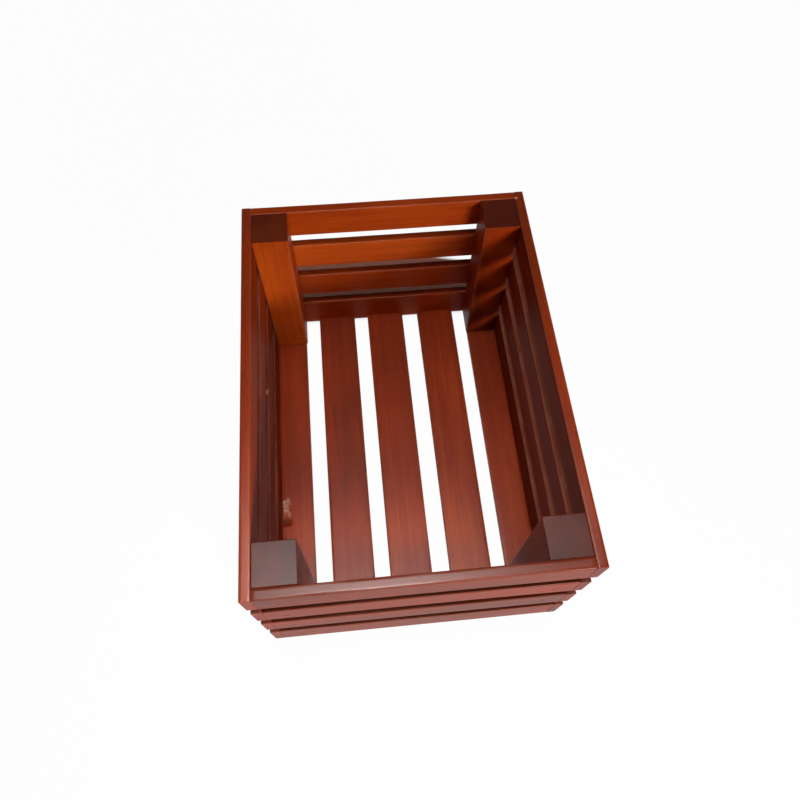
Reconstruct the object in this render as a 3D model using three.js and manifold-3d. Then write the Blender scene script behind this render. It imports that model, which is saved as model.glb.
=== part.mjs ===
// Slatted wooden storage box: an open crate of thin boards fixed to four corner posts.
// Millimetres, +Z up. The origin is at the centre of the base, and the front faces -Y.

import * as THREE from 'three';
import { mergeVertices } from 'three/addons/utils/BufferGeometryUtils.js';
import Module from 'manifold-3d';

// Outside of the box
const WIDTH = 200; // left to right
const LENGTH = 270; // front to back

// Wall slats, the same stock on all four sides
const SLAT_ROWS = 4;
const SLAT_HEIGHT = 24.5;
const SLAT_THICKNESS = 6.5;
const SLAT_GAP = 12;

// Square posts inside the corners
const POST_SIDE = 25;

// Floor boards, laid front to back between the walls, with the posts standing on the outer two
const FLOOR_BOARDS = 5;
const FLOOR_THICKNESS = 4.5;
const FLOOR_WIDTH = 30.6; // of each middle board
const OUTER_FLOOR_WIDTH = 24; // of the board along either side wall
const FLOOR_SHIFTS = [0, 0.2, -0.3, 1.1, 0]; // how far each board was laid off its even place

// Sanded edges: the radius along a board, and the chamfer round its ends
const SLAT_EDGE = 0.7;
const FLOOR_EDGE = 0.6;
const POST_EDGE = 0.8;
const END_EASE = 0.4;
const EDGE_LIMIT = 0.45; // most of a board's thickness that one rounded edge may take
const EASE_LIMIT = 0.8; // most of that radius that the end chamfer may take
const EDGE_FACETS = 4; // facets in a quarter round, an even number

// Brads, one through each slat end into its post
const BRAD_LENGTH = 19;
const BRAD_SHANK = 1.6; // diameter
const BRAD_HEAD = 2.4; // diameter
const BRAD_HEAD_THICKNESS = 0.8;
const BRAD_POINT = 2.2; // length of the tapered tip
const BRAD_SET = 0.4; // how far the head sits below the slat's face
const BRAD_STAGGER = 5; // height between a side brad and an end brad in the same post
const BRAD_SIDES = 8;

// Fits
const GLUE_LINE = 0.1; // film between glued faces
const BRAD_CLEARANCE = 0.3; // room round a brad in its hole
const CUT_PAST = 1; // how far a cut runs beyond the face it opens

// Finishes
const STAINED_WOOD = { color: 0x6e2d1a, roughness: 0.42, metalness: 0 };
const STAINED_END_GRAIN = { color: 0x5a2416, roughness: 0.5, metalness: 0 };
const STAINED_FLOOR = { color: 0x7a3421, roughness: 0.45, metalness: 0 };
const DULLED_STEEL = { color: 0x54423a, roughness: 0.55, metalness: 0.8 };

// Sizes that follow from those above
const FLOOR_TOP = FLOOR_THICKNESS + GLUE_LINE; // where the posts stand and the even rows begin
const WALL_HEIGHT = SLAT_ROWS * SLAT_HEIGHT + (SLAT_ROWS - 1) * SLAT_GAP; // above the floor
const POST_INSET = SLAT_THICKNESS + GLUE_LINE + POST_SIDE / 2; // outside face to post centre
const INNER_WIDTH = WIDTH - 2 * (SLAT_THICKNESS + GLUE_LINE);
const INNER_LENGTH = LENGTH - 2 * (SLAT_THICKNESS + GLUE_LINE);
const FLOOR_TIMBER = 2 * OUTER_FLOOR_WIDTH + (FLOOR_BOARDS - 2) * FLOOR_WIDTH;
const FLOOR_GAP = (INNER_WIDTH - FLOOR_TIMBER) / (FLOOR_BOARDS - 1);

const wasm = await Module();
wasm.setup();

// Solid of a closed geometry: positions alone, shared corners merged, collapsed triangles dropped
function solidOf(geometry) {
  const bare = geometry.clone();
  bare.deleteAttribute('normal');
  bare.deleteAttribute('uv');
  const merged = mergeVertices(bare);
  const corners = merged.index.array;
  const triVerts = [];
  for (let i = 0; i < corners.length; i += 3) {
    const [a, b, c] = corners.slice(i, i + 3);
    if (a !== b && b !== c && c !== a) triVerts.push(a, b, c);
  }
  return new wasm.Manifold(new wasm.Mesh({
    numProp: 3,
    vertProperties: new Float32Array(merged.attributes.position.array),
    triVerts: new Uint32Array(triVerts),
  }));
}

// Geometry less each of the cutters
function cut(geometry, cutters) {
  const left = cutters.reduce((solid, cutter) => solid.subtract(solidOf(cutter)), solidOf(geometry));
  const { vertProperties, triVerts } = left.getMesh();
  const result = new THREE.BufferGeometry();
  result.setAttribute('position', new THREE.BufferAttribute(vertProperties, 3));
  result.setIndex(new THREE.BufferAttribute(triVerts, 1));
  const faceted = result.toNonIndexed();
  faceted.computeVertexNormals();
  return faceted;
}

// Rectangle about the origin with its four corners rounded
function roundedRectangle(width, height, radius) {
  const x = width / 2 - radius;
  const y = height / 2 - radius;
  const outline = new THREE.Shape();
  [[x, y], [-x, y], [-x, -y], [x, -y]].forEach(([cornerX, cornerY], quarter) => {
    const start = quarter * Math.PI / 2;
    outline.absarc(cornerX, cornerY, radius, start, start + Math.PI / 2, false);
  });
  outline.closePath();
  return outline;
}

// Sawn board: a rounded section carried from -length/2 to +length/2 along Z, with its ends eased
function board(width, height, length, edge) {
  const radius = Math.min(edge, EDGE_LIMIT * Math.min(width, height));
  const ease = Math.min(END_EASE, EASE_LIMIT * radius);
  const geometry = new THREE.ExtrudeGeometry(roundedRectangle(width, height, radius), {
    depth: length - 2 * ease,
    curveSegments: EDGE_FACETS / 2, // an arc is drawn with twice this number
    bevelEnabled: true,
    bevelThickness: ease,
    bevelSize: ease,
    bevelOffset: -ease,
    bevelSegments: 1,
  });
  return geometry.translate(0, 0, ease - length / 2);
}

// Brad driven along +Y with its head's face at the origin, or the hole that it needs all round it
function brad(clearance = 0) {
  const head = BRAD_HEAD / 2 + clearance;
  const shank = BRAD_SHANK / 2 + clearance;
  const mouth = clearance > 0 ? -BRAD_SET - CUT_PAST : 0;
  const neck = BRAD_HEAD_THICKNESS + clearance;
  const profile = [
    [0, mouth],
    [head, mouth],
    [head, neck],
    [shank, neck],
    [shank, BRAD_LENGTH - BRAD_POINT],
    [0, BRAD_LENGTH + clearance],
  ];
  return new THREE.LatheGeometry(profile.map(([r, y]) => new THREE.Vector2(r, y)), BRAD_SIDES);
}

function bradHole() {
  return brad(BRAD_CLEARANCE);
}

function piece(name, geometry, finish) {
  const mesh = new THREE.Mesh(geometry, new THREE.MeshStandardMaterial(finish));
  mesh.name = name;
  return mesh;
}

// Height of a row's middle above the floor, row 0 being the lowest
function rowHeight(row) {
  return SLAT_HEIGHT / 2 + row * (SLAT_HEIGHT + SLAT_GAP);
}

// Slat drilled for its two brads, z = 0 being the middle of its row. A skirt makes it deeper below.
function drilledSlat(length, skirt, bradReach, bradLift) {
  const timber = board(SLAT_HEIGHT + skirt, SLAT_THICKNESS, length, SLAT_EDGE).rotateY(Math.PI / 2);
  const headPlace = -SLAT_THICKNESS / 2 + BRAD_SET;
  const holes = [-1, 1].map((end) => bradHole().translate(end * bradReach, headPlace, bradLift));
  return cut(timber.translate(0, 0, -skirt / 2), holes);
}

// Wall in its own frame: slats run along X, the outside faces -Y, z = 0 is the top of the floor.
// The lowest slat goes on down to the ground and covers the edge of the floor.
function wall({ name, span, depth, slatLength, bradLift, ends }) {
  const group = new THREE.Group();
  const bradReach = span / 2 - POST_INSET;
  const lowest = drilledSlat(slatLength, FLOOR_TOP, bradReach, bradLift);
  const even = drilledSlat(slatLength, 0, bradReach, bradLift);
  for (let row = 0; row < SLAT_ROWS; row += 1) {
    const rowName = `${name}_slat_${row + 1}`;
    const timber = piece(rowName, row === 0 ? lowest : even.clone(), STAINED_WOOD);
    timber.position.set(0, SLAT_THICKNESS / 2 - depth / 2, rowHeight(row));
    group.add(timber);
    [-1, 1].forEach((end, side) => {
      const nail = piece(`${name}_brad_${row + 1}_${ends[side]}`, brad(), DULLED_STEEL);
      nail.position.set(end * bradReach, BRAD_SET - depth / 2, rowHeight(row) + bradLift);
      group.add(nail);
    });
  }
  return group;
}

// Post at one corner, drilled for the brads of the two walls that meet there
function cornerPost(name, sideX, sideY) {
  const faceToHead = POST_INSET - BRAD_SET;
  const holes = [];
  for (let row = 0; row < SLAT_ROWS; row += 1) {
    const height = rowHeight(row) - WALL_HEIGHT / 2;
    const fromSide = bradHole().rotateZ(sideX * Math.PI / 2);
    holes.push(fromSide.translate(sideX * faceToHead, 0, height + BRAD_STAGGER / 2));
    const fromEnd = bradHole().rotateZ(sideY > 0 ? Math.PI : 0);
    holes.push(fromEnd.translate(0, sideY * faceToHead, height - BRAD_STAGGER / 2));
  }
  const timber = cut(board(POST_SIDE, POST_SIDE, WALL_HEIGHT, POST_EDGE), holes);
  const post = piece(name, timber, STAINED_END_GRAIN);
  post.position.set(
    sideX * (WIDTH / 2 - POST_INSET),
    sideY * (LENGTH / 2 - POST_INSET),
    FLOOR_TOP + WALL_HEIGHT / 2,
  );
  return post;
}

// Floor board, counted from the left
function floorBoard(index) {
  const fromMiddle = index - (FLOOR_BOARDS - 1) / 2;
  const outer = index === 0 || index === FLOOR_BOARDS - 1;
  const width = outer ? OUTER_FLOOR_WIDTH : FLOOR_WIDTH;
  const timber = board(width, FLOOR_THICKNESS, INNER_LENGTH, FLOOR_EDGE).rotateX(Math.PI / 2);
  const plank = piece(`floor_board_${index + 1}`, timber, STAINED_FLOOR);
  const place = outer
    ? Math.sign(fromMiddle) * (INNER_WIDTH - OUTER_FLOOR_WIDTH) / 2
    : fromMiddle * (FLOOR_WIDTH + FLOOR_GAP);
  plank.position.set(place + (FLOOR_SHIFTS[index] ?? 0), 0, FLOOR_THICKNESS / 2);
  return plank;
}

// The long side slats run the full length, and the short end slats butt between them
const endWall = {
  span: WIDTH,
  depth: LENGTH,
  slatLength: INNER_WIDTH,
  bradLift: -BRAD_STAGGER / 2,
};
const sideWall = { span: LENGTH, depth: WIDTH, slatLength: LENGTH, bradLift: BRAD_STAGGER / 2 };

const walls = [
  { name: 'front', turn: 0, ends: ['left', 'right'], ...endWall },
  { name: 'right', turn: Math.PI / 2, ends: ['front', 'back'], ...sideWall },
  { name: 'back', turn: Math.PI, ends: ['right', 'left'], ...endWall },
  { name: 'left', turn: -Math.PI / 2, ends: ['back', 'front'], ...sideWall },
];

const box = new THREE.Group();

walls.forEach((plan) => {
  const side = wall(plan);
  side.rotation.z = plan.turn;
  side.position.z = FLOOR_TOP;
  box.add(side);
});

[['front', -1], ['back', 1]].forEach(([depthName, sideY]) => {
  [['left', -1], ['right', 1]].forEach(([widthName, sideX]) => {
    box.add(cornerPost(`${depthName}_${widthName}_post`, sideX, sideY));
  });
});

for (let index = 0; index < FLOOR_BOARDS; index += 1) box.add(floorBoard(index));

export default box;
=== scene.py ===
"""Finished surfaces of a slatted wooden storage box, made around its packed construction.

Each board is a rounded section carried along its length, with sanded edges, filled brad holes and a slight
bend. Its stain and lacquer follow the grain of that board. Metres, +Z up, and the front of the box faces -Y.
"""
import math
from collections import namedtuple

import bpy
import numpy as np
from mathutils import Matrix, Vector


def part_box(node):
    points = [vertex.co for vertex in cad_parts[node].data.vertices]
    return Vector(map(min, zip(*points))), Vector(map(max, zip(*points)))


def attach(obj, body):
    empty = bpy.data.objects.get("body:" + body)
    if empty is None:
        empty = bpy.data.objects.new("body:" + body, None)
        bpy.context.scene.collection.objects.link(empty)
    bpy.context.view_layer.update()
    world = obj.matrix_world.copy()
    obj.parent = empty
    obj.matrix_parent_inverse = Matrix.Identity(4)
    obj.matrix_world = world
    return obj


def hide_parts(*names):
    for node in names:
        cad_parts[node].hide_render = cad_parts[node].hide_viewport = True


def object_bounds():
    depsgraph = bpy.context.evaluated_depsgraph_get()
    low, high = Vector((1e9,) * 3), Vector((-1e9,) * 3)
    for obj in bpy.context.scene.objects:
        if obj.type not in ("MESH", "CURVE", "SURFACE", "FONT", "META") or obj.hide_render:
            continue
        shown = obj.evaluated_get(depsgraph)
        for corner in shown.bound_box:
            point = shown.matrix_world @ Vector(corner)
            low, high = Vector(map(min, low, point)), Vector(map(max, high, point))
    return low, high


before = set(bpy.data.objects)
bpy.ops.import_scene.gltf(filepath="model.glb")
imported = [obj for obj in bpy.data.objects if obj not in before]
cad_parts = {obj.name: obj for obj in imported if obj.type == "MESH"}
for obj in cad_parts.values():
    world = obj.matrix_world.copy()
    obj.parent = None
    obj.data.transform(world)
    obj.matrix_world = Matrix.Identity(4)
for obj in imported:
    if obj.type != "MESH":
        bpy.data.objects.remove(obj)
cad_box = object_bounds()

MM = 0.001
BODY = "root"

# Boards: the radius of the sanded edges, and how closely a surface is drawn
SLAT_EDGE = 0.65 * MM
FLOOR_EDGE = 0.6 * MM
POST_EDGE = 0.8 * MM
END_EASE = 0.25 * MM
STEP_ALONG = 2.5 * MM
STEP_ACROSS = 2.0 * MM
STEP_FINE = 0.35 * MM
EDGE_STEPS = 5
EASE_STEPS = 3
CAP_RINGS = (0.97, 0.7, 0.35)  # rings of an end face, as shares of its outline

# Boards: how far a real one departs from a true one
EDGE_WEAR = 0.12 * MM
WEAR_WAVES = (20 * MM, 120 * MM)
FACE_WAVE = 0.05 * MM
WAVES_ALONG = (40 * MM, 160 * MM)
WAVES_ACROSS = (15 * MM, 60 * MM)
BEND_MOST = 0.35 * MM
DENTS = 7  # on each board
DENT_DEPTH = (0.05 * MM, 0.2 * MM)
DENT_LENGTH = (1.2 * MM, 3.5 * MM)
PITH_AWAY = (25 * MM, 90 * MM)  # from a board to the middle of its tree
TREE_SHIFT = (0, 20)  # metres along the grain, so that no two boards have the same pattern
TONE_MOST = 0.04  # how far a board's stain strays from its shade
FLAT_FACING = 0.99  # a point is on a board's flat when it faces that way by at least this cosine
END_RISE = 3  # end grain begins within the first third of an end's ease

# Boards lighter or darker than the middle tone, and by how much: partly the stain each took, partly painted
# light and shade for how brightly each is lit
STAIN_AND_LIGHT_TONES = {
    "front_slat_1": -0.13,
    "front_slat_2": -0.15,
    "front_slat_3": -0.15,
    "front_slat_4": -0.17,
    "right_slat_1": -0.13,
    "right_slat_2": -0.13,
    "right_slat_3": -0.13,
    "right_slat_4": -0.15,
    "left_slat_1": -0.08,
    "left_slat_2": -0.08,
    "left_slat_3": -0.08,
    "back_slat_1": 0.09,
    "back_slat_2": 0.08,
    "back_slat_3": 0.22,
    "back_slat_4": 0.05,
    "back_left_post": 0.25,
    "back_right_post": -0.16,
    "front_right_post": -0.08,
    "floor_board_2": -0.12,
    "floor_board_3": 0.04,
    "floor_board_4": 0.06,
    "floor_board_5": -0.04,
}
# Painted light and shade along boards: how much paler at the front, left or lower end, and darker at the
# other.
# A board takes the sum of all that its name starts with.
PAINTED_LIGHT_FADES = {
    "floor_board_": 0.08,
    "floor_board_4": 0.05,
    "floor_board_5": 0.04,
    "left_slat_": 0.07,
    "back_slat_": 0.06,
    "back_slat_3": 0.04,
    "front_slat_4": -0.05,
    "back_left_post": 0.12,
}
# Ledges between the slats of three walls: how much lighter than the rest of the slat, a value below nought
# being painted shade from the slat above, and how far their edges are rubbed paler, which is wear and partly
# a painted highlight
PAINTED_SHADE_LEDGES = {"front_slat_": (-0.4, 0.0), "right_slat_": (-0.1, 1.4), "left_slat_": (-0.1, 1.3)}
LEDGE_COAT = 0.15  # share of the lacquer that is left on them
TOP_ROW = "_slat_4"

# Lacquer: the share of a face that it covers, on upright faces inside the box and on those it settled on
SLAT_COAT = (0.03, 0.65)
POST_COAT = (0.06, 0.68)
FLOOR_COAT = (0.2, 0.3)
OUTER_COAT = 0.15  # on the outside of the box
OUTER_SKIN = 1.2 * MM  # depth to which a face counts as outside

# Filler over the brads in the walls
FILLER_REACH = 1.9 * MM
FILLER_SINK = 0.1 * MM

# Brads of the floor: up into the posts, left bare in dishes, and through the lowest end slats, filled over
FLOOR_BRAD_HEAD = 2.4 * MM
FLOOR_BRAD_SHANK = 1.6 * MM
FLOOR_BRAD_LENGTH = 19 * MM
FLOOR_BRAD_POINT = 2.2 * MM
FLOOR_BRAD_CROWN = 0.2 * MM
FLOOR_BRAD_CROWN_STEPS = 4
FLOOR_BRAD_RIM = 0.98  # width of the head's inner face, as a share of its outer one
FLOOR_BRAD_NECK = 0.6 * MM  # from the crown's edge to the shank
FLOOR_BRAD_FILLET = 0.1 * MM
FLOOR_BRAD_COLLAR = 1 * MM  # first ring of the shank
FLOOR_BRAD_SET = 0.15 * MM  # from the underside of the board to the crown
FLOOR_BRAD_PAIR = (-6 * MM, 6 * MM)
FLOOR_BRAD_SIDES = 20
END_BRAD_REACH = 1.4 * MM
DISH_REACH = 2.3 * MM
DISH_SINK = 0.6 * MM

# A knot in the first floor board, beside the left wall: pale torn fibres behind a hollow darkened by painted
# shade
KNOT_BOARD = "floor_board_1"
KNOT_HOLLOW = (-90.6 * MM, -52.9 * MM)  # x and y
KNOT_HOLLOW_REACH = (3.8 * MM, 2.6 * MM)
KNOT_HOLLOW_DEPTH = 0.9 * MM
KNOT_HOLLOW_PAINTED_SHADE = -0.38
KNOT_TORN = (-90.2 * MM, -40.5 * MM)
KNOT_TORN_SPREAD = (1.9 * MM, 4.2 * MM)
KNOT_FIBRES = 26
KNOT_FIBRE_REACH = (0.5 * MM, 1.2 * MM)  # across the grain
KNOT_FIBRE_STRETCH = 1.5  # along the grain, as a multiple of that
KNOT_FIBRE_STRENGTH = (0.3, 1.2)
KNOT_FIBRE_HEIGHT = 0.2 * MM
KNOT_STEP = 0.3 * MM
KNOT_STEP_REACH = 3 * KNOT_TORN_SPREAD[1]  # from the middle of either part to where the closer steps end
KNOT_SEED = 11

# Chips in the lacquer that show bare wood: x, y, z and radius
CHIPS = [
    (-94.5 * MM, 28.2 * MM, 65.6 * MM, 1.2 * MM),
    (-94.5 * MM, 26.2 * MM, 65.6 * MM, 1.1 * MM),
    (94.2 * MM, 129.1 * MM, 138.6 * MM, 1.2 * MM),
]

# Camera, fitted to the rim, the posts and the floor boards of the photograph
IMAGE_SIDE = 800
FOCAL_PIXELS = 684.6
SENSOR_WIDTH = 36.0
CAMERA_PLACE = (-27.6 * MM, -208.2 * MM, 509.0 * MM)
CAMERA_AZIMUTH = math.radians(7.40)
CAMERA_ELEVATION = math.radians(63.37)
CAMERA_ROLL = math.radians(2.12)
CAMERA_NEAR = 10 * MM

# Studio
GROUND_START = 0.2  # radius of the innermost ring
GROUND_RADIUS = 3.0
GROUND_RINGS = 7
GROUND_SIDES = 96
BACKDROP_CURVE = 1.2
BACKDROP_CURVE_STEPS = 12
BACKDROP_HEIGHT = 2.4
GROUND_GLOW = 0.97  # share of the ground that is plain white to the eye, the rest takes light and shadow
SHADE_GLOW = 0.01  # the same on a strip behind the box, which carries a painted shadow
SHADE_REACH = 204 * MM  # far side of that strip, on the middle line of the box
SHADE_SKEW = 0.26  # the strip ends sooner on the right, on the side of the key light
SHADE_BLUR = 10 * MM
SHADE_SIDE_BLUR = 20 * MM
SHADE_SKEW_BLUR = 2.5 * MM
# Painted shadow on that strip: its colours, lighter further from the wall
PAINTED_SHADOW_TINT = (0.42, 0.15, 0.095, 1)
PAINTED_SHADOW_DEEP = (0.13, 0.05, 0.033, 1)  # painted shadow, deepest at the foot of the wall
AMBIENT = 0.01

# Lamps: name, place, target, width, height, watts and spread in degrees. All but the key face straight down.
LAMPS = [
    ("key", (0.50, -1.18, 0.49), (0, 0, 0.07), 0.36, 0.2, 14.7, 180),
    ("over_rim", (0.02, 0.10, 1.3), (0.02, 0.10, 0), 0.5, 0.12, 2.76, 180),
    ("over_left", (-0.26, 0.17, 1.3), (-0.26, 0.17, 0), 0.15, 0.15, 0.72, 180),
    ("over_right", (0.42, 0.17, 1.3), (0.42, 0.17, 0), 0.15, 0.15, 0.45, 180),
    ("front_grid", (-0.03, -0.16, 1.3), (-0.03, -0.16, 0), 0.3, 0.3, 0.36, 36),
]

# Grain: how often each pattern repeats in a metre, along the grain and both ways across it
BENDS_COUNT = (7, 40, 40)
RIBBON_COUNT = (5, 180, 110)
FIBRE_COUNT = (38, 1300, 1300)
CLOUD_COUNT = (11, 26, 26)
PORE_COUNT = (150, 2700, 2700)
RUB_COUNT = (60, 220, 220)
BLOOM_COUNT = (900, 900, 900)  # on steel
SCRATCH_COUNT = (4000, 4000, 400)
PORE_STEP = (0.60, 0.72)  # noise at which a pore begins and is whole
RUB_STEP = (0.35, 0.7)
BLOOM_STEP = (0.4, 0.65)
RING_BEND = 2.2  # rings by which the slow bends push one aside
RING_POWER = 3  # gives a ring a slow rise and a sharp end

# Stain: how much each pattern changes what the wood takes, and where on that scale its three colours lie
STAIN_EVEN = 0.5
STAIN_RIBBON = 0.4
STAIN_FIBRE = 0.35
STAIN_RING = 0.06
STAIN_STOPS = (0.1, 0.5, 0.9)
PORE_SHARE = 0.3  # shares of other colours that are mixed in
EDGE_SHARE = 0.3
RUB_SHARE = 0.3
FILLER_SHARE = 0.6
BARE_SHARE = 0.85
CHIP_CORE = 0.6  # part of a chip's radius that is bare all over

# Sheen: roughness, and how much each pattern changes it, the lacquer and the relief
ROUGH_EVEN = 0.44
ROUGH_FIBRE = 0.2
ROUGH_CLOUD = 0.2
ROUGH_PORE = 0.1
ROUGH_RUBBED = 0.05
ROUGH_FILLER = 0.08
COAT_CLOUD = 0.6
COAT_PORE = 0.3
RELIEF_FIBRE = 0.5
RELIEF_PORE = 0.6
RELIEF_RING = 0.2
RELIEF_STRENGTH = 0.35
RELIEF_DEPTH = 0.06 * MM
STEEL_ROUGH = 0.3
STEEL_ROUGH_BLOOM = 0.3
STEEL_ROUGH_SCRATCH = 0.1

# Linear colours
STAIN_DEEP = (0.090, 0.015, 0.0035, 1)
STAIN_MIDDLE = (0.30, 0.030, 0.0024, 1)
STAIN_THIN = (0.52, 0.080, 0.0065, 1)
PORE_TINT = (0.30, 0.20, 0.16, 1)
END_TINT = (0.30, 0.27, 0.27, 1)
SAWN_TINT = (0.85, 0.80, 0.80, 1)
# paler edges: wear, and partly a painted sheen
WORN_EDGE_AND_SHEEN = (0.26, 0.09, 0.06, 1)
BARE_WOOD = (0.74, 0.41, 0.28, 1)
FILLER_TINT = (0.62, 0.55, 0.50, 1)
STEEL_DULL = (0.20, 0.17, 0.15, 1)
STEEL_BRIGHT = (0.46, 0.43, 0.40, 1)
WHITE = (1, 1, 1, 1)
GROUND_WHITE = (0.86, 0.86, 0.86, 1)


Spot = namedtuple("Spot", "along across side reach sink filled")


class Number:
    """A socket that carries a number: arithmetic on it adds Math nodes to its sheet."""

    def __init__(self, sheet, socket):
        self.sheet = sheet
        self.socket = socket

    def math(self, operation, *values):
        node = self.sheet.add("ShaderNodeMath", {"operation": operation}, dict(enumerate(values)))
        return Number(self.sheet, node.outputs[0])

    def __add__(self, other):
        return self.math("ADD", self, other)

    def __radd__(self, other):
        return self.math("ADD", other, self)

    def __sub__(self, other):
        return self.math("SUBTRACT", self, other)

    def __rsub__(self, other):
        return self.math("SUBTRACT", other, self)

    def __mul__(self, other):
        return self.math("MULTIPLY", self, other)

    def __rmul__(self, other):
        return self.math("MULTIPLY", other, self)

    def __truediv__(self, other):
        return self.math("DIVIDE", self, other)

    def __pow__(self, other):
        return self.math("POWER", self, other)

    def fraction(self):
        return self.math("FRACT", self)

    def larger(self, other):
        return self.math("MAXIMUM", self, other)

    def size(self):
        return self.math("ABSOLUTE", self)

    def held(self):
        """The number kept between 0 and 1."""
        return self.math("MAXIMUM", self.math("MINIMUM", self, 1.0), 0.0)


class Sheet:
    """The nodes of one material or world."""

    def __init__(self, owner):
        owner.use_nodes = True
        self.tree = owner.node_tree
        self.tree.nodes.clear()

    def add(self, kind, settings=None, sockets=None):
        """A node of that kind, with its settings made first and then its sockets set or linked."""
        node = self.tree.nodes.new(kind)
        for name, setting in (settings or {}).items():
            if name == "stops":
                self.set_stops(node.color_ramp, setting)
            else:
                setattr(node, name, setting)
        for key, given in (sockets or {}).items():
            given = given.socket if isinstance(given, Number) else given
            if isinstance(given, bpy.types.NodeSocket):
                self.tree.links.new(given, node.inputs[key])
            else:
                node.inputs[key].default_value = given
        return node

    @staticmethod
    def set_stops(ramp, stops):
        while len(ramp.elements) < len(stops):
            ramp.elements.new(1.0)
        for element, (place, colour) in zip(ramp.elements, stops):
            element.position = place
            element.color = colour

    def attribute(self, name):
        return self.add("ShaderNodeAttribute", {"attribute_name": name})

    def split(self, vector):
        node = self.add("ShaderNodeSeparateXYZ", sockets={"Vector": vector})
        return [Number(self, socket) for socket in node.outputs]

    def vector(self, operation, first, second):
        node = self.add("ShaderNodeVectorMath", {"operation": operation}, {0: first, 1: second})
        return node.outputs["Vector"]

    def noise(self, place, per_metre, detail=2.0, roughness=0.5):
        """Noise from 0 to 1 with its own count per metre along each axis of the place."""
        stretched = self.vector("MULTIPLY", place, per_metre)
        sockets = {"Vector": stretched, "Scale": 1.0, "Detail": detail, "Roughness": roughness}
        return Number(self, self.add("ShaderNodeTexNoise", sockets=sockets).outputs[0])

    def apart(self, first, second):
        """The distance between two places."""
        node = self.add("ShaderNodeVectorMath", {"operation": "DISTANCE"}, {0: first, 1: second})
        return Number(self, node.outputs["Value"])

    def step(self, number, low, high):
        """A smooth step from 0 at low to 1 at high."""
        sockets = {"Value": number, "From Min": low, "From Max": high, "To Min": 0.0, "To Max": 1.0}
        node = self.add("ShaderNodeMapRange", {"interpolation_type": "SMOOTHSTEP"}, sockets)
        return Number(self, node.outputs[0])

    def ramp(self, number, stops):
        return self.add("ShaderNodeValToRGB", {"stops": stops}, {"Fac": number}).outputs["Color"]

    def mix(self, share, first, second, blend="MIX"):
        """Colour between two others, by a share from 0 to 1. Inputs 6 and 7 of a Mix node are its colours."""
        settings = {"data_type": "RGBA", "blend_type": blend}
        return self.add("ShaderNodeMix", settings, {0: share, 6: first, 7: second}).outputs[2]

    def surface(self, shader):
        self.add("ShaderNodeOutputMaterial", sockets={"Surface": shader.outputs[0]})


def wander(places, draws, shortest, longest, waves=5):
    """A slow drift from -1 to 1: a weighted sum of sines over the places, of seeded lengths and phases."""
    lengths = draws.uniform(shortest, longest, waves)
    phases = draws.uniform(0, 2 * math.pi, waves)
    weights = draws.dirichlet(np.ones(waves))
    return np.sin(2 * math.pi * places[..., None] / lengths + phases) @ weights


def finer(low, high, step, spots):
    """Even steps from low to high, and closer ones near each spot, given as (place, reach, closer step)."""
    runs = [np.linspace(low, high, round((high - low) / step) + 1)]
    runs += [np.arange(place - reach, place + reach, close) for place, reach, close in spots]
    places = np.sort(np.concatenate(runs))
    places = places[(places >= low) & (places <= high)]
    apart = np.append(True, np.diff(places) > STEP_FINE / 2)
    return places[apart]


def section(half_width, half_thickness, edge, upper_spots, lower_spots):
    """Outline of a board across its grain, anticlockwise: quarter rounds of the edge's radius, and flats.

    Gives each point's place (across, through), its outward direction and, for each of the four edges, how far
    round it the point lies: sin(2 x angle), so 0 at either flat and 1 midway.
    """
    middle = np.array([half_width - edge, half_thickness - edge])
    turn = np.linspace(0, math.pi / 2, EDGE_STEPS + 1)
    wide = [finer(-middle[0], middle[0], STEP_ACROSS, spots)[1:-1] for spots in (upper_spots, lower_spots)]
    narrow = np.linspace(-middle[1], middle[1], round(2 * middle[1] / STEP_ACROSS) + 2)[1:-1]
    flats = [
        (np.stack([wide[0][::-1], np.full(len(wide[0]), half_thickness)], 1), (0, 1)),
        (np.stack([np.full(len(narrow), -half_width), narrow[::-1]], 1), (-1, 0)),
        (np.stack([wide[1], np.full(len(wide[1]), -half_thickness)], 1), (0, -1)),
        (np.stack([np.full(len(narrow), half_width), narrow], 1), (1, 0)),
    ]
    places, outward, rounding = [], [], []
    for number, corner in enumerate([(1, 1), (-1, 1), (-1, -1), (1, -1)]):
        angle = turn + number * math.pi / 2
        facing = np.stack([np.cos(angle), np.sin(angle)], 1)
        flat, flat_facing = flats[number]
        places += [middle * corner + edge * facing, flat]
        outward += [facing, np.tile(flat_facing, (len(flat), 1))]
        share = np.zeros((len(turn) + len(flat), 4))
        share[:len(turn), number] = np.sin(2 * turn)
        rounding.append(share)
    return np.concatenate(places), np.concatenate(outward), np.concatenate(rounding)


def stations(length, spots):
    """Rows of a board from end to end: an end face's rings, a quarter round of the end's ease, and the body.

    Gives each row's place along the board, how far its outline is drawn in, and its size as a share of that.
    """
    turn = np.linspace(0, math.pi / 2, EASE_STEPS + 1)[1:]
    reach = length / 2 - END_EASE
    body = finer(-reach, reach, STEP_ALONG, spots)
    rings = np.array(CAP_RINGS)
    tail = np.append(reach + END_EASE * np.sin(turn), np.full(len(rings), length / 2))
    tail_inset = np.append(END_EASE * (1 - np.cos(turn)), np.full(len(rings), END_EASE))
    tail_share = np.append(np.ones(len(turn)), rings)
    along = np.concatenate([-tail[::-1], body, tail])
    inset = np.concatenate([tail_inset[::-1], np.zeros(len(body)), tail_inset])
    share = np.concatenate([tail_share[::-1], np.ones(len(body)), tail_share])
    return along, inset, share


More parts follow.
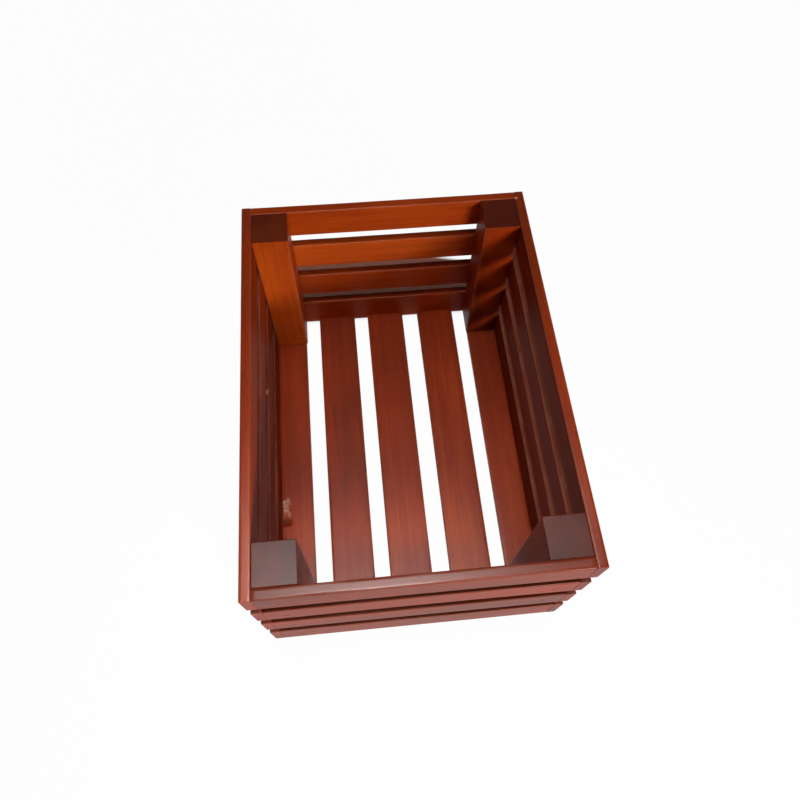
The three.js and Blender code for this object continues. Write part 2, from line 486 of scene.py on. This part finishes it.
def sanding(along, across, rounding, length, draws):
    """Depth taken off a board: wear that drifts along each edge, dents as bell curves on the edges, and faces
    that wave by the product of a drift along and a drift across."""
    wear = np.stack([wander(along, draws, *WEAR_WAVES) for _ in range(4)], 1)
    wear = EDGE_WEAR * (0.5 + 0.5 * wear)
    place = draws.uniform(-length / 2, length / 2, DENTS)
    reach = draws.uniform(*DENT_LENGTH, DENTS)
    depth = draws.uniform(*DENT_DEPTH, DENTS)
    bells = depth * np.exp(-((along[:, None] - place) / reach) ** 2)
    wear += bells @ np.eye(4)[draws.integers(0, 4, DENTS)]
    wave = wander(along, draws, *WAVES_ALONG)[:, None] * wander(across, draws, *WAVES_ACROSS)
    return wear @ rounding.T + FACE_WAVE * (0.5 + 0.5 * wave)


def dips(along, across, through_facing, spots):
    """Dips over the brads: each sinks by (1 - r^2)^2 of its depth, r being the distance over its reach.

    Gives the depth, and 1 over a filled brad fading to 0 at the filler's rim.
    """
    depth = np.zeros((len(along), len(across)))
    filler = np.zeros_like(depth)
    for spot in spots:
        away = (along[:, None] - spot.along) ** 2 + (across - spot.across) ** 2
        inside = np.clip(1 - away / spot.reach ** 2, 0, 1) * (through_facing * spot.side > FLAT_FACING)
        depth += spot.sink * inside ** 2
        filler += spot.filled * np.clip(2 * inside, 0, 1)
    return depth, filler


def knot(along, across):
    """The knot's hollow and its torn fibres, from 0 to 1, over y along the board and x across it.

    The hollow is a flat-topped bell curve. The fibres are the highest of many seeded bells, scattered about
    a middle of their own.
    """
    draws = np.random.default_rng(KNOT_SEED)
    down = (along[:, None] - KNOT_HOLLOW[1]) / KNOT_HOLLOW_REACH[1]
    aside = (across - KNOT_HOLLOW[0]) / KNOT_HOLLOW_REACH[0]
    hollow = np.exp(-down ** 4 - aside ** 4)
    x = draws.normal(KNOT_TORN[0], KNOT_TORN_SPREAD[0], KNOT_FIBRES)
    y = draws.normal(KNOT_TORN[1], KNOT_TORN_SPREAD[1], KNOT_FIBRES)
    reach = draws.uniform(*KNOT_FIBRE_REACH, KNOT_FIBRES)
    strength = draws.uniform(*KNOT_FIBRE_STRENGTH, KNOT_FIBRES)
    away = ((along[:, None, None] - y) / KNOT_FIBRE_STRETCH) ** 2 + (across[None, :, None] - x) ** 2
    return hollow, (strength * np.exp(-away / reach ** 2)).max(2)


def mesh_object(name, points, quads, triangles, values, material):
    """An object at the origin from whole arrays of points, faces and values at the points."""
    mesh = bpy.data.meshes.new(name)
    corners = np.concatenate([quads.ravel(), triangles.ravel()]).astype(np.int32)
    quad_starts = np.arange(len(quads)) * 4
    triangle_starts = quads.size + np.arange(len(triangles)) * 3
    starts = np.append(quad_starts, triangle_starts).astype(np.int32)
    mesh.vertices.add(len(points))
    mesh.vertices.foreach_set("co", points.astype(np.float32).ravel())
    mesh.loops.add(len(corners))
    mesh.loops.foreach_set("vertex_index", corners)
    mesh.polygons.add(len(starts))
    mesh.polygons.foreach_set("loop_start", starts)
    mesh.polygons.foreach_set("use_smooth", np.ones(len(starts), bool))
    mesh.update(calc_edges=True)
    for key, numbers in values.items():
        kind, field = ("FLOAT_VECTOR", "vector") if numbers.ndim == 2 else ("FLOAT", "value")
        attribute = mesh.attributes.new(key, kind, "POINT")
        attribute.data.foreach_set(field, numbers.astype(np.float32).ravel())
    mesh.materials.append(material)
    made = bpy.data.objects.new(name, mesh)
    bpy.context.collection.objects.link(made)
    return made


def wrapped_grid(rows, columns):
    """Faces of a tube of points, row after row, closed round its columns and by a pole at either end."""
    index = np.arange(rows * columns).reshape(rows, columns)
    following = np.roll(index, -1, axis=1)
    quads = np.stack([index[:-1], following[:-1], following[1:], index[1:]], -1).reshape(-1, 4)
    first, last = rows * columns, rows * columns + 1
    start = np.stack([np.full(columns, first), following[0], index[0]], 1)
    finish = np.stack([np.full(columns, last), index[-1], following[-1]], 1)
    return quads, np.concatenate([start, finish])


def lacquer_share(coat, upright, settled, places):
    """Share of a board that lacquer covers: little on inner faces, more on those that face up or lie outside.

    The square of how far a point faces out of the box counts as outside, if it lies in the box's skin.
    """
    at_skin = np.abs(places) > np.array(cad_box[1][:2]) - OUTER_SKIN
    outside = (at_skin * np.clip(upright * np.sign(places), 0, 1) ** 2).sum(2)
    return coat[0] + (coat[1] - coat[0]) * settled + (OUTER_COAT - coat[0]) * outside


def board_facing(outward, along, body, axes):
    """The way each point of a board faces: across the grain on its body, and along it on its ends."""
    facing = np.zeros((len(along), len(outward), 3))
    facing[..., axes[1:]] = outward
    ends = np.sign(along)[:, None, None] * [1, 0, 0]
    facing[..., axes] = np.where(body[..., None], facing[..., axes], ends)
    return facing


def with_length(along, sections):
    """Points of a board, row after row: each row's place along the grain, joined to its section."""
    rows, columns, _ = sections.shape
    lengthwise = np.broadcast_to(along[:, None, None], (rows, columns, 1))
    return np.concatenate([lengthwise, sections], 2).reshape(-1, 3)


def board(node, edge, spots, bend, material, coat, draws):
    """A board in place of its node: the section carried along the stations, less the sanding and the dips,
    and bent by a parabola that is nothing at its ends. The longest side of the node runs with the grain."""
    low, high = (np.array(corner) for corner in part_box(node))
    size, middle = high - low, (low + high) / 2
    axes = np.argsort(-size, kind="stable")
    length, width, thickness = size[axes]
    near = [(spot.side, spot.along, spot.across, spot.reach, STEP_FINE) for spot in spots]
    if node == KNOT_BOARD:
        knot_places = np.array([KNOT_HOLLOW, KNOT_TORN])[:, ::-1] - middle[axes[:2]]
        near += [(1, *place, KNOT_STEP_REACH, KNOT_STEP) for place in knot_places]
    upper_spots = [(across, reach, step) for side, _, across, reach, step in near if side == 1]
    lower_spots = [(across, reach, step) for side, _, across, reach, step in near if side == -1]
    places, outward, rounding = section(width / 2, thickness / 2, edge, upper_spots, lower_spots)
    along, inset, share = stations(length, [(place, reach, step) for _, place, _, reach, step in near])

    drawn_in = (places[None] - outward[None] * inset[:, None, None]) * share[:, None, None]
    sunk, filler = dips(along, places[:, 0], outward[:, 1], spots)
    depth = sanding(along, places[:, 0], rounding, length, draws) + sunk
    hollow, torn = np.zeros((2, *depth.shape))
    if node == KNOT_BOARD:
        upper = outward[:, 1] > FLAT_FACING
        hollow, torn = upper * np.array(knot(along + middle[axes[0]], places[:, 0] + middle[axes[1]]))
    depth += KNOT_HOLLOW_DEPTH * hollow - KNOT_FIBRE_HEIGHT * torn
    body = (share == 1)[:, None]
    surface = drawn_in - outward[None] * (depth * body)[..., None]
    surface[..., 1] += bend * (1 - (2 * along[:, None] / length) ** 2)

    rows, columns = depth.shape
    poles = np.array([[-length / 2, 0, 0], [length / 2, 0, 0]])
    points = np.empty((rows * columns + 2, 3))
    points[:, axes] = np.concatenate([with_length(along, surface), poles]) + middle[axes]

    quads, triangles = wrapped_grid(rows, columns)
    if np.linalg.det(np.eye(3)[axes]) > 0:
        quads, triangles = quads[:, ::-1], triangles[:, ::-1]

    angle = draws.uniform(0, 2 * math.pi)
    away = draws.uniform(*PITH_AWAY)
    tree = np.array([draws.uniform(*TREE_SHIFT), away * math.cos(angle), away * math.sin(angle)])
    facing = board_facing(outward, along, body, axes)
    settled = np.clip(facing[..., 2], 0, 1) ** 4
    lacquer = lacquer_share(coat, facing[..., :2], settled, points[:-2, :2].reshape(rows, columns, 2))
    lacquer *= (1 - hollow) * (1 - torn)
    wall = node[:-1] if "_slat_" in node and not node.endswith(TOP_ROW) else None
    ledge_painted_shade, ledge_wear_and_highlight = PAINTED_SHADE_LEDGES.get(wall, (0.0, 0.0))
    ledge = settled * (wall in PAINTED_SHADE_LEDGES)
    lacquer *= 1 - ledge * (1 - LEDGE_COAT)
    # the board's tone: partly its stain, partly painted light and shade
    shade = STAIN_AND_LIGHT_TONES.get(node, 0.0)
    tone = np.full(depth.shape, shade + TONE_MOST * draws.uniform(-1, 1))
    # painted fall-off of light from one end of the board to the other
    fade = sum(amount for start, amount in PAINTED_LIGHT_FADES.items() if node.startswith(start))
    tone -= fade * 2 * along[:, None] / length
    # painted shade in the knot's hollow
    # painted shade on the ledges under the slats above
    tone += KNOT_HOLLOW_PAINTED_SHADE * hollow + ledge_painted_shade * ledge
    end_share = np.broadcast_to(np.minimum(1, END_RISE * inset / END_EASE)[:, None], depth.shape)
    # edges worn paler; on the ledges this is partly a painted highlight
    worn = rounding.sum(1) * body + ledge_wear_and_highlight * ledge
    finish = np.stack([worn, end_share, filler * body], -1).reshape(-1, 3)
    values = {
        "grain": np.concatenate([with_length(along, drawn_in), poles]) + tree,
        "finish": np.concatenate([finish, [[0, 1, 0], [0, 1, 0]]]),
        "tone": np.append(tone.ravel(), [shade, shade]),
        "lacquer": np.append(lacquer.ravel(), [lacquer[0, 0], lacquer[-1, 0]]),
        "torn": np.append(torn.ravel(), [0, 0]),
    }
    made = mesh_object(f"{node}_timber", points, quads, triangles, values, material)
    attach(made, BODY)
    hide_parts(node)


def node_middle(node):
    low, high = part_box(node)
    return (np.array(low) + high) / 2


def wall_spots(slat):
    """The filled brads of a slat, found by the names of its wall and row, in the slat's own directions."""
    wall, row = slat.split("_slat_")
    low, high = (np.array(corner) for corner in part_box(slat))
    middle = (low + high) / 2
    axes = np.argsort(low - high, kind="stable")
    side = math.copysign(1, middle[axes[2]])
    brads = sorted(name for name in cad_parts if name.startswith(f"{wall}_brad_{row}_"))
    away = [(node_middle(name) - middle)[axes] for name in brads]
    spots = [Spot(place[0], place[1], side, FILLER_REACH, FILLER_SINK, 1.0) for place in away]
    if slat in ("front_slat_1", "back_slat_1"):
        held = [plank for plank in floor_boards() if not posts_on(plank)]
        ends = [(node_middle(plank) - middle)[axes] for plank in held]
        spots += [
            Spot(place[0] + offset, place[1], side, END_BRAD_REACH, FILLER_SINK, 1.0)
            for place in ends for offset in FLOOR_BRAD_PAIR
        ]
    return spots


def floor_boards():
    return sorted(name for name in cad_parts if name.startswith("floor_board_"))


def posts_on(plank):
    """Posts that stand on a floor board."""
    low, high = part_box(plank)
    posts = [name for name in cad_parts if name.endswith("_post")]
    return sorted(name for name in posts if low[0] < node_middle(name)[0] < high[0])


def floor_brad_places():
    """Brads driven up through a floor board: two into each post that stands on it."""
    return {
        plank: [
            (node_middle(post)[0] + offset, node_middle(post)[1])
            for post in posts_on(plank) for offset in FLOOR_BRAD_PAIR
        ]
        for plank in floor_boards()
    }


def floor_brads(places, material):
    """Brads driven up through the floor boards: one profile turned about its axis, repeated at each place."""
    head, shank = FLOOR_BRAD_HEAD / 2, FLOOR_BRAD_SHANK / 2
    crown = np.linspace(0, math.pi / 2, FLOOR_BRAD_CROWN_STEPS + 1)[1:]
    radius = np.concatenate([head * np.sin(crown), [head * FLOOR_BRAD_RIM, shank, shank, shank]])
    neck = FLOOR_BRAD_CROWN + FLOOR_BRAD_NECK
    below = FLOOR_BRAD_LENGTH - FLOOR_BRAD_POINT
    height = np.concatenate([
        FLOOR_BRAD_CROWN * (1 - np.cos(crown)),
        [neck - FLOOR_BRAD_FILLET, neck, neck + FLOOR_BRAD_COLLAR, below],
    ])
    turn = np.linspace(0, 2 * math.pi, FLOOR_BRAD_SIDES, endpoint=False)
    tube = np.stack([
        radius[:, None] * np.cos(turn),
        radius[:, None] * np.sin(turn),
        np.broadcast_to(height[:, None], (len(height), len(turn))),
    ], -1).reshape(-1, 3)
    one = np.concatenate([tube, [[0, 0, 0], [0, 0, FLOOR_BRAD_LENGTH]]])
    quads, triangles = wrapped_grid(len(height), len(turn))
    seats = np.array([(x, y, FLOOR_BRAD_SET) for pairs in places.values() for x, y in pairs])
    shift = (np.arange(len(seats)) * len(one))[:, None, None]
    made = mesh_object(
        "floor_brads",
        (one[None] + seats[:, None]).reshape(-1, 3),
        (quads[None] + shift).reshape(-1, 4),
        (triangles[None] + shift).reshape(-1, 3),
        {},
        material,
    )
    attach(made, BODY)


def stained_wood(name, ring_step, end_tint, specular, coat_rough, blotch):
    """Red-brown stain under satin lacquer, on each board's own grain.

    The stain takes unevenly: ribbons and fibres along the grain, growth rings about the tree's middle, and
    slow clouds. Edges and ledges are paler, partly rubbed and partly a painted sheen and highlight; ledges
    also carry painted shade. End grain drinks more and looks darker, and a few chips are bare.
    """
    material = bpy.data.materials.new(name)
    sheet = Sheet(material)
    grain = sheet.attribute("grain").outputs["Vector"]
    edge, end, filler = sheet.split(sheet.attribute("finish").outputs["Vector"])
    tone = Number(sheet, sheet.attribute("tone").outputs["Fac"])
    lacquer = Number(sheet, sheet.attribute("lacquer").outputs["Fac"])
    torn = Number(sheet, sheet.attribute("torn").outputs["Fac"])

    bends = sheet.noise(grain, BENDS_COUNT) - 0.5
    ribbon = sheet.noise(grain, RIBBON_COUNT, detail=3) - 0.5
    fibre = sheet.noise(grain, FIBRE_COUNT, detail=3, roughness=0.6) - 0.5
    cloud = sheet.noise(grain, CLOUD_COUNT) - 0.5
    pore = sheet.step(sheet.noise(grain, PORE_COUNT, detail=1), *PORE_STEP)
    across = sheet.vector("MULTIPLY", grain, (0, 1, 1))
    radius = sheet.apart(across, (0, 0, 0))
    ring = (radius / ring_step + bends * RING_BEND).fraction() ** RING_POWER

    taken = STAIN_EVEN + ribbon * STAIN_RIBBON + fibre * STAIN_FIBRE + cloud * blotch
    taken = taken - ring * STAIN_RING + tone
    colour = sheet.ramp(taken.held(), list(zip(STAIN_STOPS, (STAIN_DEEP, STAIN_MIDDLE, STAIN_THIN))))
    colour = sheet.mix(pore * PORE_SHARE, colour, PORE_TINT, "MULTIPLY")
    # paler edges and ledge edges: wear, and partly a painted sheen and highlight
    rubbed = edge * sheet.step(sheet.noise(grain, RUB_COUNT, detail=3), *RUB_STEP)
    colour = sheet.mix(edge * EDGE_SHARE + rubbed * RUB_SHARE, colour, WORN_EDGE_AND_SHEEN)
    colour = sheet.mix(end, colour, end_tint, "MULTIPLY")
    colour = sheet.mix(filler * FILLER_SHARE, colour, FILLER_TINT, "MULTIPLY")
    here = sheet.add("ShaderNodeTexCoord").outputs["Object"]
    chips = [
        1 - sheet.step(sheet.apart(here, place), reach * CHIP_CORE, reach)
        for *place, reach in CHIPS
    ]
    bare = sum(chips, torn)
    colour = sheet.mix(bare.held() * BARE_SHARE, colour, BARE_WOOD)

    rough = ROUGH_EVEN + fibre * ROUGH_FIBRE + cloud * ROUGH_CLOUD + pore * ROUGH_PORE
    rough = rough - rubbed * ROUGH_RUBBED + filler * ROUGH_FILLER
    coat = lacquer * (1 + cloud * COAT_CLOUD - pore * COAT_PORE)
    relief = fibre * RELIEF_FIBRE - pore * RELIEF_PORE * (1 - filler) - ring * RELIEF_RING
    sockets = {"Strength": RELIEF_STRENGTH, "Distance": RELIEF_DEPTH, "Height": relief}
    bump = sheet.add("ShaderNodeBump", sockets=sockets)
    shader = sheet.add("ShaderNodeBsdfPrincipled", sockets={
        "Base Color": colour,
        "Roughness": rough.held(),
        "Specular IOR Level": specular,
        "Coat Weight": coat.held(),
        "Coat Roughness": coat_rough,
        "Normal": bump.outputs["Normal"],
    })
    sheet.surface(shader)
    return material


def dull_steel():
    """Brad wire: steel with a brown bloom in patches, rougher where it has bloomed."""
    material = bpy.data.materials.new("dull_steel")
    sheet = Sheet(material)
    place = sheet.add("ShaderNodeTexCoord").outputs["Object"]
    bloom = sheet.step(sheet.noise(place, BLOOM_COUNT, detail=3), *BLOOM_STEP)
    scratch = sheet.noise(place, SCRATCH_COUNT)
    shader = sheet.add("ShaderNodeBsdfPrincipled", sockets={
        "Base Color": sheet.mix(bloom, STEEL_BRIGHT, STEEL_DULL),
        "Metallic": 1.0,
        "Roughness": (STEEL_ROUGH + bloom * STEEL_ROUGH_BLOOM + scratch * STEEL_ROUGH_SCRATCH).held(),
    })
    sheet.surface(shader)
    return material


def white_ground():
    """Pale studio ground: plain white to the eye and in reflections, with a share that takes light and shade.

    That share is nearly whole on a strip behind the box, which carries a painted shadow of the box: dark and
    warm at the foot of the back wall, soft at the far side, and cut off on a slant towards the key light.
    """
    material = bpy.data.materials.new("white_ground")
    sheet = Sheet(material)
    path = sheet.add("ShaderNodeLightPath")
    seen = Number(sheet, path.outputs["Is Camera Ray"])
    for kind in ("Is Glossy Ray", "Is Transmission Ray"):
        seen = seen.larger(Number(sheet, path.outputs[kind]))
    x, y, _ = sheet.split(sheet.add("ShaderNodeTexCoord").outputs["Object"])
    half_width, half_length = cad_box[1][:2]
    past = y - SHADE_REACH
    skewed = past + x * SHADE_SKEW
    shaded = 1 - sheet.step(past, -SHADE_BLUR, SHADE_BLUR)
    shaded = shaded * (1 - sheet.step(skewed, -SHADE_SKEW_BLUR, SHADE_SKEW_BLUR))
    shaded = shaded * (1 - sheet.step(x.size(), half_width - SHADE_SIDE_BLUR, half_width))
    shaded = shaded * sheet.step(y, half_length - SHADE_BLUR, half_length)
    glowing = GROUND_GLOW - shaded * (GROUND_GLOW - SHADE_GLOW)
    # painted shadow: the strip's colour, deep at the wall's foot and lighter further out
    painted_shadow = sheet.mix(sheet.step(y, half_length, SHADE_REACH), PAINTED_SHADOW_DEEP, PAINTED_SHADOW_TINT)
    lit = sheet.add("ShaderNodeBsdfDiffuse", sockets={"Color": sheet.mix(shaded, GROUND_WHITE, painted_shadow)})
    glow = sheet.add("ShaderNodeEmission", sockets={"Color": WHITE, "Strength": 1.0})
    sockets = {0: seen * glowing, 1: lit.outputs[0], 2: glow.outputs[0]}
    sheet.surface(sheet.add("ShaderNodeMixShader", sockets=sockets))
    return material


def studio_ground(material):
    """A disc that curves up into a round backdrop: a flat, a quarter round and an upright, turned about Z."""
    curve = np.linspace(0, math.pi / 2, BACKDROP_CURVE_STEPS + 1)
    flat = np.linspace(GROUND_START, GROUND_RADIUS, GROUND_RINGS, endpoint=False)
    radius = np.concatenate([flat, GROUND_RADIUS + BACKDROP_CURVE * np.sin(curve)])
    height = np.append(np.zeros(GROUND_RINGS), BACKDROP_CURVE * (1 - np.cos(curve)))
    radius = np.append(radius, radius[-1])
    height = np.append(height, BACKDROP_HEIGHT)
    turn = np.linspace(0, 2 * math.pi, GROUND_SIDES, endpoint=False)
    tube = np.stack([
        radius[:, None] * np.cos(turn),
        radius[:, None] * np.sin(turn),
        np.broadcast_to(height[:, None], (len(height), len(turn))),
    ], -1).reshape(-1, 3)
    quads, triangles = wrapped_grid(len(height), len(turn))
    triangles = triangles[:len(turn)]
    triangles[:, 0] = len(tube)
    ground = mesh_object("ground", np.append(tube, [[0, 0, 0]], 0), quads, triangles, {}, material)


def softbox(name, place, target, width, height, watts, spread):
    """An oblong soft lamp that faces its target, with a grid over it if its spread is under 180 degrees."""
    lamp = bpy.data.lights.new(name, "AREA")
    lamp.shape = "RECTANGLE"
    lamp.size = width
    lamp.size_y = height
    lamp.energy = watts
    lamp.spread = math.radians(spread)
    lamp_object = bpy.data.objects.new(name, lamp)
    bpy.context.collection.objects.link(lamp_object)
    lamp_object.location = place
    lamp_object.rotation_euler = (Vector(target) - Vector(place)).to_track_quat("-Z", "Y").to_euler()


def studio_air():
    """Faint even light from all round."""
    world = bpy.data.worlds.new("studio_air")
    sheet = Sheet(world)
    glow = sheet.add("ShaderNodeBackground", sockets={"Color": WHITE, "Strength": AMBIENT})
    sheet.add("ShaderNodeOutputWorld", sockets={"Surface": glow.outputs[0]})
    bpy.context.scene.world = world


def photograph_camera():
    """Camera from its azimuth, elevation and roll: it looks along the forward direction, rolled about it."""
    flat = math.cos(CAMERA_ELEVATION)
    forward = Vector((
        math.sin(CAMERA_AZIMUTH) * flat,
        math.cos(CAMERA_AZIMUTH) * flat,
        -math.sin(CAMERA_ELEVATION),
    ))
    level = forward.cross(Vector((0, 0, 1))).normalized()
    down = forward.cross(level)
    right = level * math.cos(CAMERA_ROLL) - down * math.sin(CAMERA_ROLL)
    up = -(level * math.sin(CAMERA_ROLL) + down * math.cos(CAMERA_ROLL))
    lens = bpy.data.cameras.new("camera")
    lens.sensor_width = SENSOR_WIDTH
    lens.lens = FOCAL_PIXELS / IMAGE_SIDE * SENSOR_WIDTH
    lens.clip_start = CAMERA_NEAR
    camera = bpy.data.objects.new("camera", lens)
    bpy.context.collection.objects.link(camera)
    turned = Matrix((right, up, -forward)).transposed().to_4x4()
    camera.matrix_world = Matrix.Translation(CAMERA_PLACE) @ turned
    bpy.context.scene.camera = camera


slat_wood = stained_wood(
    "slat_wood", ring_step=2.6 * MM, end_tint=SAWN_TINT, specular=0.03, coat_rough=0.28, blotch=0.35)
post_wood = stained_wood(
    "post_wood", ring_step=3.1 * MM, end_tint=END_TINT, specular=0.03, coat_rough=0.30, blotch=0.8)
floor_wood = stained_wood(
    "floor_wood", ring_step=2.9 * MM, end_tint=SAWN_TINT, specular=0.15, coat_rough=0.28, blotch=0.5)
brad_steel = dull_steel()

names = sorted(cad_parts)
floor_places = floor_brad_places()
for seed, node in enumerate(names):
    draws = np.random.default_rng(seed)
    if "_slat_" in node:
        spots = wall_spots(node)
        inward = -spots[0].side
        bend = inward * draws.uniform(0, BEND_MOST)
        board(node, SLAT_EDGE, spots, bend, slat_wood, SLAT_COAT, draws)
    elif node.endswith("_post"):
        board(node, POST_EDGE, [], 0.0, post_wood, POST_COAT, draws)
    elif node.startswith("floor_board_"):
        middle = node_middle(node)
        spots = [
            Spot(y - middle[1], x - middle[0], -1, DISH_REACH, DISH_SINK, 0.0)
            for x, y in floor_places[node]
        ]
        bend = draws.uniform(0, BEND_MOST)
        board(node, FLOOR_EDGE, spots, bend, floor_wood, FLOOR_COAT, draws)
    else:
        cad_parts[node].data.materials.clear()
        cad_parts[node].data.materials.append(brad_steel)
floor_brads(floor_places, brad_steel)

studio_ground(white_ground())
studio_air()
for lamp in LAMPS:
    softbox(*lamp)
photograph_camera()
bpy.context.scene.view_settings.view_transform = "Standard"
